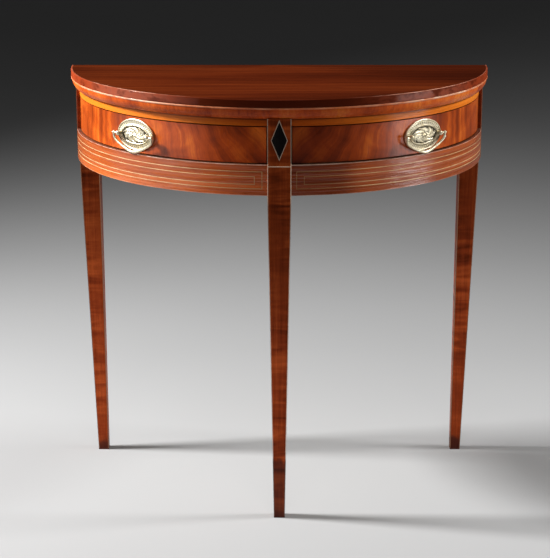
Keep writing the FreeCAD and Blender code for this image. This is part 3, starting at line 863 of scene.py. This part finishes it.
@dataclass
class TopAssembly(Assembly):
    """The half-round top and the ovolo moulding under its edge."""

    rail_radius: float = 0.376
    lip_radius: float = 0.390
    foot_radius: float = 0.3805
    moulding_foot: float = 0.726
    moulding_top: float = 0.746
    fillet: float = 0.003
    bulge: float = 0.0022
    bead: float = 0.0012
    back_y: float = 0.1935
    sharp: float = math.radians(32)
    steps_round: int = 220
    steps_ovolo: int = 14
    steps_bead: int = 8

    def profile(self) -> list[Point]:
        """Outline of the moulding, as radius and height.

        Returns:
            Points in turn round the outline.
        """
        low = (self.foot_radius, self.moulding_foot)
        high = (self.lip_radius, self.moulding_top - self.fillet)
        run, rise = high[0] - low[0], high[1] - low[1]
        chord = math.hypot(run, rise)
        ovolo = []
        for i in range(self.steps_ovolo + 1):
            share = i / self.steps_ovolo
            swell = self.bulge * 4 * share * (1 - share)
            radius, height = between(low, high, share)
            ovolo.append((radius + swell * rise / chord, height - swell * run / chord))
        half = self.fillet / 2
        middle = high[1] + half
        turns = [math.pi * i / self.steps_bead - math.pi / 2 for i in range(1, self.steps_bead)]
        bead = [(self.lip_radius + self.bead * math.cos(a), middle + half * math.sin(a)) for a in turns]
        ends = [(self.lip_radius, self.moulding_top), (self.rail_radius, self.moulding_top)]
        return [(self.rail_radius, self.moulding_foot), *ovolo, *bead, *ends]

    def sweep_rig(self) -> NodeRig:
        """The tree that carries an outline round a path.

        Returns:
            The rig.
        """
        rig = NodeRig("moulding_sweep", (("Outline", "NodeSocketObject"),))
        outline = rig.node("GeometryNodeObjectInfo", {"Object": rig.given["Outline"]})
        level = rig.node("GeometryNodeSetCurveNormal", {"Curve": rig.given["Geometry"]}, mode="Z_UP")
        inputs = {"Curve": level.outputs[0], "Profile Curve": outline.outputs["Geometry"], "Fill Caps": True}
        rig.close(rig.node("GeometryNodeCurveToMesh", inputs).outputs[0])
        return rig

    def build(self) -> None:
        """Make the moulding, which stands for the CAD node of the same shape."""
        middle = (self.rail_radius + self.lip_radius) / 2
        half_turn = math.pi - math.acos((self.back_y - ARC_Y) / middle)
        angles = [half_turn * (2 * i / self.steps_round - 1) for i in range(self.steps_round + 1)]
        arc = [(middle * math.sin(a), ARC_Y - middle * math.cos(a)) for a in angles]
        points = [Vector((x, y, self.moulding_foot)) for x, y in arc]
        outline = [Vector((r - middle, self.moulding_foot - z, 0.0)) for r, z in self.profile()]
        shape = stand("moulding_outline", path_curve("moulding_outline", outline, True))
        finish = self.finishes["moulding_mahogany"]
        values = {"Outline": shape, "Material": finish}
        swept = self.sweep_rig().run(path_curve("moulding_path", points, False), values, "moulding_sweep")
        mesh = mesh_from("swept_moulding", lambda work: work.from_mesh(swept))
        bpy.data.objects.remove(shape)
        bpy.data.meshes.remove(swept)
        mesh.set_sharp_from_angle(angle=self.sharp)
        piece = new_piece("swept_moulding", mesh, finish)
        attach(piece, "table_frame")
        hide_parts("edge_moulding")
        LOG.info("swept_moulding: %d faces", len(mesh.polygons))

    def plan(self) -> dict[str, Sequence[str]]:
        """The finish of the top board."""
        return {"top_mahogany": ("table_top",)}


@dataclass
class FrameAssembly(Assembly):
    """Legs, rails, bands, inlay and the supports inside the frame."""

    middle_screws_y: Point = (-0.0665, 0.0895)
    outer_screws_x: float = 0.31977
    outer_screws_y: Point = (0.07261, 0.13588)
    screw_head_foot: float = 0.729
    face_radius: float = 0.0036
    head_radius: float = 0.004
    head_chamfer: float = 0.00075
    head_height: float = 0.003
    shank_radius: float = 0.0022
    tip_radius: float = 0.00033
    tip_length: float = 0.005
    screw_length: float = 0.025
    screw_turns: int = 20
    slot_width: float = 0.0009
    slot_reach: float = 0.006
    slot_depth: float = 0.0012
    sharp: float = math.radians(30)

    def screw_mesh(self) -> Mesh:
        """A plain wood screw, point up, with its head's face at the origin.

        Returns:
            The mesh.
        """
        tip = self.screw_length - self.tip_length
        outline = ((self.face_radius, 0.0), (self.head_radius, self.head_chamfer),
                   (self.head_radius, self.head_height), (self.shank_radius, self.head_height),
                   (self.shank_radius, tip), (self.tip_radius, self.screw_length))
        turns = full_turn(self.screw_turns)
        rings = [[Vector((r * math.cos(a), r * math.sin(a), z)) for a in turns] for r, z in outline]
        return mesh_from("slotted_screw", lambda work: skin_rings(work, rings), smooth=False)

    def slot_mesh(self) -> Mesh:
        """The block that the driver's slot takes out of a screw's head.

        Returns:
            The mesh.
        """
        reach, half = self.slot_reach, self.slot_width / 2
        corners = ((-reach, -half), (reach, -half), (reach, half), (-reach, half))
        rings = [[Vector((x, y, z)) for x, y in corners] for z in (-self.slot_depth, self.slot_depth)]
        return mesh_from("slot_block", lambda work: skin_rings(work, rings), smooth=False)

    def screw_places(self) -> Mesh:
        """A point for the head of each screw.

        Returns:
            A mesh of points.
        """
        spots = [(0.0, y) for y in self.middle_screws_y]
        for x in (self.outer_screws_x, -self.outer_screws_x):
            spots += [(x, y) for y in self.outer_screws_y]
        places = bpy.data.meshes.new("screw_places")
        places.from_pydata([(x, y, self.screw_head_foot) for x, y in spots], [], [])
        return places

    def build(self) -> None:
        """Set a screw at each place by a node tree; they stand for the plain screws of the frame."""
        rig = NodeRig("screw_set", (("Screw", "NodeSocketObject"),))
        screw = rig.node("GeometryNodeObjectInfo", {"Object": rig.given["Screw"], "As Instance": True})
        rig.set_on(rig.given["Geometry"], screw.outputs["Geometry"])
        pattern = stand("screw_pattern", self.screw_mesh())
        block = stand("slot_block", self.slot_mesh())
        cut = pattern.modifiers.new("slot", "BOOLEAN")
        cut.operation = "DIFFERENCE"
        cut.solver = "EXACT"
        cut.object = block
        iron = self.finishes["old_iron"]
        mesh = rig.run(self.screw_places(), {"Screw": pattern, "Material": iron}, "slotted_screws")
        for helper in (pattern, block):
            bpy.data.objects.remove(helper)
        mesh.set_sharp_from_angle(angle=self.sharp)
        piece = new_piece("slotted_screws", mesh, iron)
        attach(piece, "table_frame")
        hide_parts("top_screws")
        LOG.info("slotted_screws: %d faces", len(mesh.polygons))

    def plan(self) -> dict[str, Sequence[str]]:
        """The finishes of the frame's nodes.

        Returns:
            The nodes that get each finish.
        """
        both = [side.label for side in Side]
        supports = [f"{place}_{part}" for place in ("center", *(f"{s}_outer" for s in both))
                    for part in ("runner", "guide", "kicker")]
        return {
            "leg_mahogany": ("front_leg", *(f"{s}_rear_leg" for s in both)),
            "rail_mahogany": [f"{s}_top_rail" for s in both],
            "band_mahogany": [f"{s}_apron_band" for s in both],
            "pale_string": [f"{s}_apron_stringing" for s in both],
            "leg_string": ("front_leg_stringing", "lozenge_stringing"),
            "rear_string": ("rear_leg_stringing",),
            "ebony": ("lozenge_inlay",),
            "pine_across": ("back_rail",),
            "core_mahogany": [f"{s}_apron_rail" for s in both],
            "pine_bent": ("glue_blocks",),
            "pine_deep": ("drawer_stops", *supports),
        }


@dataclass
class DrawerAssembly(Assembly):
    """One bow-fronted drawer."""

    side: Side

    def plan(self) -> dict[str, Sequence[str]]:
        """The finishes of the drawer's boards."""
        boards = {"flame_mahogany": ("veneer",), "core_mahogany": ("front",),
                  "poplar_deep": ("inner_side", "outer_side"), "poplar_across": ("back", "bottom")}
        return {key: [f"{self.side.label}_drawer_{name}" for name in names] for key, names in boards.items()}


@dataclass
class PullAssembly(Assembly):
    """One oval pull: stamped plate, beads, posts and bail. Sizes are in millimetres."""

    side: Side
    turn: float = math.radians(41.9739)
    height: float = 679.5
    half_length: float = 44.5
    half_height: float = 28.0
    edge: float = 1.2
    rim_width: float = 3.0
    rim_rise: float = 1.0
    ring_start: float = 10.0
    ring_end: float = 13.0
    ring_foot: float = 2.3
    ring_top: float = 3.2
    bowl_sink: float = 0.35
    flute_count: int = 44
    flute_rise: float = 0.55
    dome_top: float = 4.6
    leaf_count: int = 7
    leaf_rise: float = 1.5
    leaf_swirl: float = 1.35
    leaf_width: float = 0.47
    leaf_lobes: float = 5.0
    leaf_veins: float = 7.0
    boss_radius: float = 0.17
    petal_count: int = 6
    bead_count: int = 58
    bead_radius: float = 1.0
    bead_sink: float = 0.1
    pivot_stand: float = 8.5
    bail_half: float = 47.0
    bail_shoulder: float = 12.0
    bail_drop: float = 29.5
    bail_tip: float = 9.0
    rod_radius: float = 2.2
    grip_radius: float = 2.65
    grip_width: float = 15.0
    collar_places: Point = (14.0, 16.4)
    collar_width: float = 0.8
    collar_rise: float = 0.5
    knuckle_radius: float = 3.4
    pin_radius: float = 1.5
    pin_end: float = 31.4
    sharp: float = math.radians(40)
    plate_turns: int = 352
    back_hole: float = 0.08
    back_rows: int = 6
    rim_rows: int = 8
    bowl_rows: int = 17
    dome_hole: float = 0.02
    dome_rows: int = 54
    bead_path_turns: int = 160
    bead_segments: int = 10
    bead_rings: int = 7
    bail_easings: int = 4
    rod_turns: int = 20
    rod_step: float = 0.6
    knuckle_rows: int = 16

    def spot(self, along: float, out: float, up: float) -> Vector:
        """A point of the pull in the table's frame.

        Args:
            along: Millimetres along the drawer's face from the pull's middle.
            out: Millimetres out from the face.
            up: Millimetres up from the pull's middle.

        Returns:
            The point in metres.
        """
        angle = self.turn * self.side.value
        reach = FACE_RADIUS + out * MM
        x = reach * math.sin(angle) + along * MM * math.cos(angle)
        y = ARC_Y - reach * math.cos(angle) + along * MM * math.sin(angle)
        return Vector((x, y, (self.height + up) * MM))

    def sag(self, along: float) -> float:
        """How far the drawer's face falls back, so far along from the pull's middle."""
        radius = FACE_RADIUS / MM
        return radius - math.sqrt(radius**2 - along**2)

    def border(self, inset: float, angle: float) -> Point:
        """A point of the oval so far in from the plate's edge."""
        return (self.half_length - inset) * math.cos(angle), (self.half_height - inset) * math.sin(angle)

    def border_relief(self, inset: float, angle: float) -> Point:
        """Height and hollowness of the plate between its edge and its ring.

        Args:
            inset: Millimetres in from the plate's edge.
            angle: Angle round the oval.

        Returns:
            Millimetres out, and a hollow share from 0 to 1.
        """
        if inset <= self.rim_width:
            share = inset / self.rim_width
            return self.edge + self.rim_rise * math.sin(math.pi * share) ** 0.8, 0.0 if share < 0.8 else 0.5
        if inset <= self.ring_start:
            share = (inset - self.rim_width) / (self.ring_start - self.rim_width)
            arch = math.sin(math.pi * share)
            bowl = self.edge - self.bowl_sink * arch + (self.ring_foot - self.edge) * share**2.2
            flute = 0.5 + 0.5 * math.cos(self.flute_count * angle)
            lift = arch**1.5
            hollow = 0.55 * (1 - flute) * lift + (0.5 if share > 0.92 or share < 0.06 else 0.0)
            return bowl + self.flute_rise * flute * lift, hollow
        share = (inset - self.ring_start) / (self.ring_end - self.ring_start)
        return self.ring_foot + (self.ring_top - self.ring_foot) * math.sin(math.pi * share) ** 0.6, 0.35

    def leaf(self, radius: float, angle: float, shift: float) -> float:
        """Height share of one layer of swirled leaves on the dome.

        Args:
            radius: Distance from the dome's middle, from 0 to 1.
            angle: Angle round the oval.
            shift: Turn of the layer, in leaves.

        Returns:
            From 0 between leaves to 1 on a leaf's crown.
        """
        swirl = angle + self.leaf_swirl * (1 - radius) + 0.35 * math.sin(3.2 * radius)
        across = (swirl * self.leaf_count / (2 * math.pi) + shift) % 1.0 - 0.5
        length = min(max((radius - 0.16) / 0.78, 0.0), 1.0)
        lobes = 1 + 0.2 * math.cos(2 * math.pi * self.leaf_lobes * length + 1.3)
        width = self.leaf_width * math.sin(math.pi * length**0.75) ** 0.7 * lobes
        if abs(across) >= width or width < 1e-4:
            return 0.0
        crown = (1 - (abs(across) / width) ** 2) ** 0.6
        rib = 0.22 * math.exp(-((across / 0.05) ** 2))
        slant = 3.0 * abs(across) / self.leaf_width
        veins = 0.1 * math.cos(2 * math.pi * (self.leaf_veins * length - slant))
        return max(0.0, min(1.0, 0.72 * crown + rib + veins * crown))

    def dome_relief(self, radius: float, angle: float) -> Point:
        """Height and hollowness of the dome inside the ring.

        Args:
            radius: Distance from the dome's middle, from 0 to 1.
            angle: Angle round the oval.

        Returns:
            Millimetres out, and a hollow share from 0 to 1.
        """
        ground = self.ring_foot + (self.dome_top - self.ring_foot - self.leaf_rise) * (1 - radius**2)
        front = self.leaf(radius, angle, 0.0)
        behind = 0.36 * self.leaf(min(1.0, radius * 1.04), angle, 0.5)
        boss = max(0.0, 1 - (radius / self.boss_radius) ** 2) ** 0.5
        petals = 0.85 + 0.15 * math.cos(self.petal_count * angle)
        relief = max(front, behind, boss * petals)
        return ground + self.leaf_rise * relief, max(0.0, 0.95 - 1.9 * relief)

    def plate_mesh(self) -> Mesh:
        """The stamped plate, closed at its back along the drawer's face.

        Returns:
            The mesh, with a hollow attribute for its tarnish.
        """
        angles = full_turn(self.plate_turns)
        rows, hollows = [], []

        def add_row(oval: Sequence[Point], relief: Sequence[Point]) -> None:
            """Add a ring of points, each with its place out and its hollowness."""
            rows.append([self.spot(along, out, up) for (along, up), (out, _) in zip(oval, relief)])
            hollows.extend(hollow for _, hollow in relief)

        for share in np.linspace(self.back_hole, 1.0, self.back_rows):
            oval = [(along * share, up * share) for along, up in (self.border(0.0, a) for a in angles)]
            add_row(oval, [(-self.sag(along), 0.0) for along, _ in oval])
        rim = np.linspace(0, self.rim_width, self.rim_rows)
        bowl = np.linspace(self.rim_width, self.ring_start, self.bowl_rows)[1:]
        ring = np.linspace(self.ring_start, self.ring_end, self.rim_rows)[1:]
        for inset in (*rim, *bowl, *ring):
            add_row([self.border(inset, a) for a in angles], [self.border_relief(inset, a) for a in angles])
        inner = [self.border(self.ring_end, a) for a in angles]
        for radius in np.linspace(1.0, self.dome_hole, self.dome_rows)[1:]:
            oval = [(along * radius, up * radius) for along, up in inner]
            add_row(oval, [self.dome_relief(radius, a) for a in angles])

        def fill(work: BMesh) -> None:
            """Skin the rows, and note how hollow each point lies.

            Args:
                work: The mesh that gets them.
            """
            layer = work.verts.layers.float.new("hollow")
            skin_rings(work, rows)
            for vert, hollow in zip(work.verts, hollows):
                vert[layer] = hollow

        return mesh_from(f"{self.side.label}_stamped_plate", fill)

    def bead_mesh(self) -> Mesh:
        """Beads along the plate's ring, set by a node tree.

        Returns:
            The mesh of all beads.
        """
        label = self.side.label
        rig = NodeRig(f"{label}_bead_run", (("Count", "NodeSocketInt"), ("Radius", "NodeSocketFloat")))
        given = rig.given
        evened = rig.node("GeometryNodeResampleCurve", {"Curve": given["Geometry"], "Count": given["Count"]})
        shape = {"Segments": self.bead_segments, "Rings": self.bead_rings, "Radius": given["Radius"]}
        rig.set_on(evened.outputs[0], rig.node("GeometryNodeMeshUVSphere", shape).outputs[0])
        middle = (self.ring_start + self.ring_end) / 2
        loop = [self.border(middle, a) for a in full_turn(self.bead_path_turns)]
        points = [self.spot(along, self.ring_top - self.bead_sink, up) for along, up in loop]
        values = {"Count": self.bead_count, "Radius": self.bead_radius * MM,
                  "Material": self.finishes["old_brass"]}
        return rig.run(path_curve(f"{label}_bead_path", points, True), values, f"{label}_plate_beads")

    def bail_route(self) -> list[Point]:
        """The bail's line, as places along and up, with its corners eased.

        Returns:
            Closely set points from the left knuckle to the right one.
        """
        half, tip = self.bail_half, self.bail_tip
        line = [(-half, 0.0), (-half, -self.bail_shoulder), (-tip, -self.bail_drop),
                (tip, -self.bail_drop), (half, -self.bail_shoulder), (half, 0.0)]
        for _ in range(self.bail_easings):
            runs = list(zip(line, line[1:]))
            eased = [between(*run, share) for run in runs for share in (0.25, 0.75)]
            line = [line[0], *eased, line[-1]]
        dense = []
        for start, end in zip(line, line[1:]):
            pieces = max(1, round(math.dist(start, end) / self.rod_step))
            dense += [between(start, end, i / pieces) for i in range(pieces)]
        return [*dense, line[-1]]

    def rod_size(self, along: float) -> float:
        """Radius of the bail's rod: slim at its ends, full at the grip, with two collars each side of it.

        Args:
            along: The place along the pull.

        Returns:
            Millimetres.
        """
        grip = math.exp(-((along / self.grip_width) ** 2))
        steps = ((abs(along) - place) / self.collar_width for place in self.collar_places)
        collars = self.collar_rise * sum(math.exp(-(step**2)) for step in steps)
        swell = (self.grip_radius - self.rod_radius) * grip
        return min(self.rod_radius + swell + collars, self.grip_radius)

    def rod_ring(self, route: Sequence[Point], index: int) -> list[Vector]:
        """One ring of the bail's rod, square to its line.

        Args:
            route: The line.
            index: Which of its points the ring goes round.

        Returns:
            The ring's points.
        """
        before, after = route[max(index - 2, 0)], route[min(index + 2, len(route) - 1)]
        length = math.dist(before, after)
        run, rise = (after[0] - before[0]) / length, (after[1] - before[1]) / length
        along, up = route[index]
        radius = self.rod_size(along)
        ring = []
        for angle in full_turn(self.rod_turns):
            side = radius * math.cos(angle)
            out = self.pivot_stand + radius * math.sin(angle)
            ring.append(self.spot(along - side * rise, out, up + side * run))
        return ring

    def wheel(self, along: float, radius: float) -> list[Vector]:
        """A ring about the bail's pivot line, at a place along it."""
        turns = [(radius * math.cos(a), radius * math.sin(a)) for a in full_turn(self.rod_turns)]
        return [self.spot(along, self.pivot_stand + out, up) for out, up in turns]

    def bail_mesh(self) -> Mesh:
        """The bail: rod, knuckles and the pins that turn in the posts.

        Returns:
            The mesh.
        """
        route = self.bail_route()
        laps = [math.pi * i / self.knuckle_rows for i in range(1, self.knuckle_rows)]
        ball = [(self.knuckle_radius * math.cos(lap), self.knuckle_radius * math.sin(lap)) for lap in laps]

        def fill(work: BMesh) -> None:
            """Build the rod, then a knuckle and a pin at each end.

            Args:
                work: The mesh that gets them.
            """
            skin_rings(work, [self.rod_ring(route, i) for i in range(len(route))])
            for sign in (-1, 1):
                end = sign * self.bail_half
                skin_rings(work, [self.wheel(end + shift, radius) for shift, radius in ball])
                pin = (end, sign * self.pin_end)
                skin_rings(work, [self.wheel(place, self.pin_radius) for place in pin])

        return mesh_from(f"{self.side.label}_cast_bail", fill)

    def build(self) -> None:
        """Make the plate, its beads and the bail, and set them on their bodies."""
        label = self.side.label
        brass = self.finishes["old_brass"]
        plate = new_piece(f"{label}_stamped_plate", self.plate_mesh(), brass)
        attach(plate, f"{label}_drawer")
        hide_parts(f"{label}_pull_plate")
        beads = new_piece(f"{label}_plate_beads", self.bead_mesh(), brass)
        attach(beads, f"{label}_drawer")
        bail = new_piece(f"{label}_cast_bail", self.bail_mesh(), brass)
        bail.data.set_sharp_from_angle(angle=self.sharp)
        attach(bail, f"{label}_bail")
        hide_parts(f"{label}_bail")
        for piece in (plate, beads, bail):
            LOG.info("%s: %d faces", piece.name, len(piece.data.polygons))

    def plan(self) -> dict[str, Sequence[str]]:
        """The finish of the posts and nuts."""
        return {"old_brass": [f"{self.side.label}_pull_{part}" for part in ("posts", "nuts")]}


@dataclass(frozen=True)
class Lamp:
    """A soft lamp: its place, what it points at, its width and height, and its power."""

    name: str
    place: Triple
    target: Triple
    size: Point
    watts: float
    spread: float = math.radians(120)

    def hang(self) -> None:
        """Hang the lamp in the scene."""
        light = bpy.data.lights.new(self.name, "AREA")
        light.shape = "RECTANGLE"
        light.size, light.size_y = self.size
        light.spread = self.spread
        light.energy = self.watts
        holder = stand(self.name, light)
        holder.location = self.place
        aim = Vector(self.target) - Vector(self.place)
        holder.rotation_euler = aim.to_track_quat("-Z", "Y").to_euler()


@dataclass
class Studio:
    """Pale floor, soft lamps, dim room light and the camera at the photograph's angle."""

    finishes: dict[str, Material]
    eye: Triple = (0.0, -3.2058, 1.2808)
    pitch: float = math.radians(15.453)
    lens: float = 116.83
    sensor: float = 36.0
    shift: float = -0.0077
    floor_half: float = 30.0
    room_level: float = 0.03
    lamps: tuple[Lamp, ...] = (
        Lamp("left_softbox", (-2.2, 0.1, 2.1), (-0.1, 0.1, 0.7), (0.45, 0.35), 66.0),
        Lamp("right_softbox", (2.2, 0.05, 2.1), (0.1, 0.05, 0.7), (0.45, 0.35), 17.5),
        Lamp("front_softbox", (0.0, -1.9, 2.5), (0.0, -0.1, 0.5), (1.4, 1.0), 4.5),
        Lamp("left_card", (-1.9, -0.6, 0.3), (0.0, 0.0, 0.3), (2.2, 0.5), 3.0),
        Lamp("right_card", (2.1, -0.5, 0.3), (0.0, 0.0, 0.3), (0.9, 0.45), 4.0),
    )

    def floor(self) -> None:
        """Lay the floor."""
        half = self.floor_half
        mesh = bpy.data.meshes.new("studio_floor")
        corners = [(-half, -half, 0), (half, -half, 0), (half, half, 0), (-half, half, 0)]
        mesh.from_pydata(corners, [], [(0, 1, 2, 3)])
        new_piece("studio_floor", mesh, self.finishes["pale_floor"])

    def room(self) -> None:
        """Set the plain room light."""
        world = bpy.data.worlds.new("studio_room")
        world.use_nodes = True
        back = next(n for n in world.node_tree.nodes if n.type == "BACKGROUND")
        back.inputs["Color"].default_value = (1.0, 1.0, 1.0, 1.0)
        back.inputs["Strength"].default_value = self.room_level
        bpy.context.scene.world = world

    def camera(self) -> None:
        """Stand the camera where the photograph was taken from."""
        data = bpy.data.cameras.new("studio_camera")
        data.sensor_fit = "VERTICAL"
        data.sensor_height = self.sensor
        data.lens = self.lens
        data.shift_x = self.shift
        holder = stand("studio_camera", data)
        holder.location = self.eye
        holder.rotation_euler = (math.pi / 2 - self.pitch, 0.0, 0.0)
        bpy.context.scene.camera = holder

    def build(self) -> None:
        """Set up the whole studio."""
        self.floor()
        for lamp in self.lamps:
            lamp.hang()
        self.room()
        self.camera()
        bpy.context.scene.view_settings.view_transform = "Standard"


def main() -> None:
    """Build the finishes and the studio, then the sub-assemblies in order."""
    logging.basicConfig(level=logging.INFO, format="%(name)s %(message)s")
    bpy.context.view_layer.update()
    finishes = make_finishes()
    Studio(finishes).build()
    assemblies = [TopAssembly(finishes), FrameAssembly(finishes)]
    for kind in (PullAssembly, DrawerAssembly):
        assemblies += [kind(finishes, side) for side in Side]
    for assembly in assemblies:
        assembly.build()
        assembly.dress()


if __name__ == "__main__":
    main()
